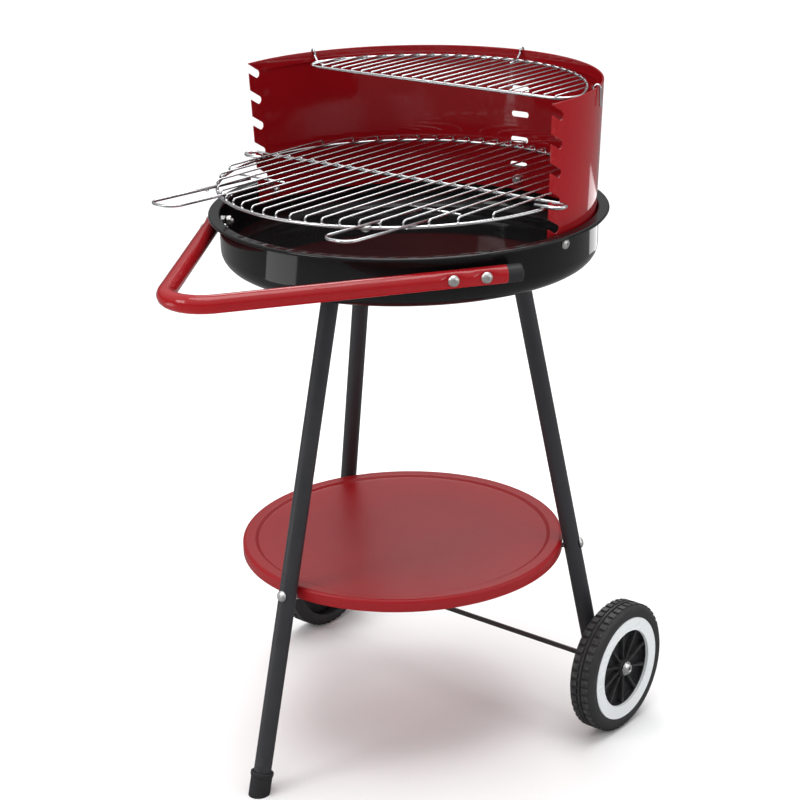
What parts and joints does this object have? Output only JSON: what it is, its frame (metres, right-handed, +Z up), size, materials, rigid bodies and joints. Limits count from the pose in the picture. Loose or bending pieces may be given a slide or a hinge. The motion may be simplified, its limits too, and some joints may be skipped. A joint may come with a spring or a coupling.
{
  "type": "round charcoal grill",
  "caption": "Round charcoal grill: pressed fire bowl with notched half-round wind shield, cooking grate, warming rack, V handle, tube legs, storage shelf and wheels.",
  "frame": {"origin": "centre of the footprint box, on the floor", "axes": "+Z up, +Y towards the wheels and the back of the wind shield, -Y towards the handle's tip and the front leg, +X along the axle to the right-hand wheel"},
  "size_m": [0.478, 0.5716, 0.7335],
  "materials": {
    "black_enamel": "gloss black vitreous enamel",
    "red_enamel": "gloss red enamel",
    "red_coat": "semi-gloss red powder coat",
    "grey_coat": "satin charcoal-grey powder coat",
    "chrome_wire": "bright chromed wire",
    "zinc": "bright zinc plate",
    "black_plastic": "moulded black plastic",
    "tyre_plastic": "matt dark grey moulded tyre",
    "white_plastic": "white moulded ring",
    "axle_steel": "blackened steel"
  },
  "bodies": {
    "root": {"fire_bowl": "black_enamel", "wind_shield": "red_enamel", "shield_bolts": "zinc", "shield_nuts": "zinc", "handle_tube": "red_coat", "handle_end_caps": "black_plastic", "handle_bolts": "zinc", "handle_nuts": "zinc", "leg_front": "grey_coat", "leg_rear_right": "grey_coat", "leg_rear_left": "grey_coat", "leg_top_bolts": "zinc", "leg_top_inserts": "black_plastic", "rear_leg_plugs": "black_plastic", "foot_cap": "black_plastic", "shelf": "red_enamel", "shelf_bolts": "zinc", "shelf_nuts": "zinc", "axle": "axle_steel", "axle_caps": "zinc", "axle_washers": "zinc"},
    "wheel_right": {"wheel_right_tyre": "tyre_plastic", "wheel_right_white_ring": "white_plastic", "wheel_right_hub": "black_plastic"},
    "wheel_left": {"wheel_left_tyre": "tyre_plastic", "wheel_left_white_ring": "white_plastic", "wheel_left_hub": "black_plastic"},
    "cooking_grate": {"grate_ring": "chrome_wire", "grate_rods": "chrome_wire", "grate_crossbar": "chrome_wire", "grate_grip_left": "chrome_wire", "grate_grip_right": "chrome_wire", "grate_grip_ties": "chrome_wire", "grate_rear_tab": "chrome_wire"},
    "warming_rack": {"rack_frame": "chrome_wire", "rack_rods": "chrome_wire", "rack_hooks": "chrome_wire"}
  },
  "joints": [
    {"name": "wheel_right_spin", "type": "hinge", "parent": "root", "child": "wheel_right", "pos_m": [0, 0.15432, 0.0745], "axis": [1, 0, 0], "continuous": true},
    {"name": "wheel_left_spin", "type": "hinge", "parent": "root", "child": "wheel_left", "pos_m": [0, 0.15432, 0.0745], "axis": [1, 0, 0], "continuous": true},
    {"name": "grate_pull_out", "type": "slide", "parent": "root", "child": "cooking_grate", "axis": [0, -0.8829, 0.4695], "range_m": [0, 0.3]},
    {"name": "rack_lift_off", "type": "slide", "parent": "root", "child": "warming_rack", "axis": [0, 0, 1], "range_m": [0, 0.12]}
  ]
}
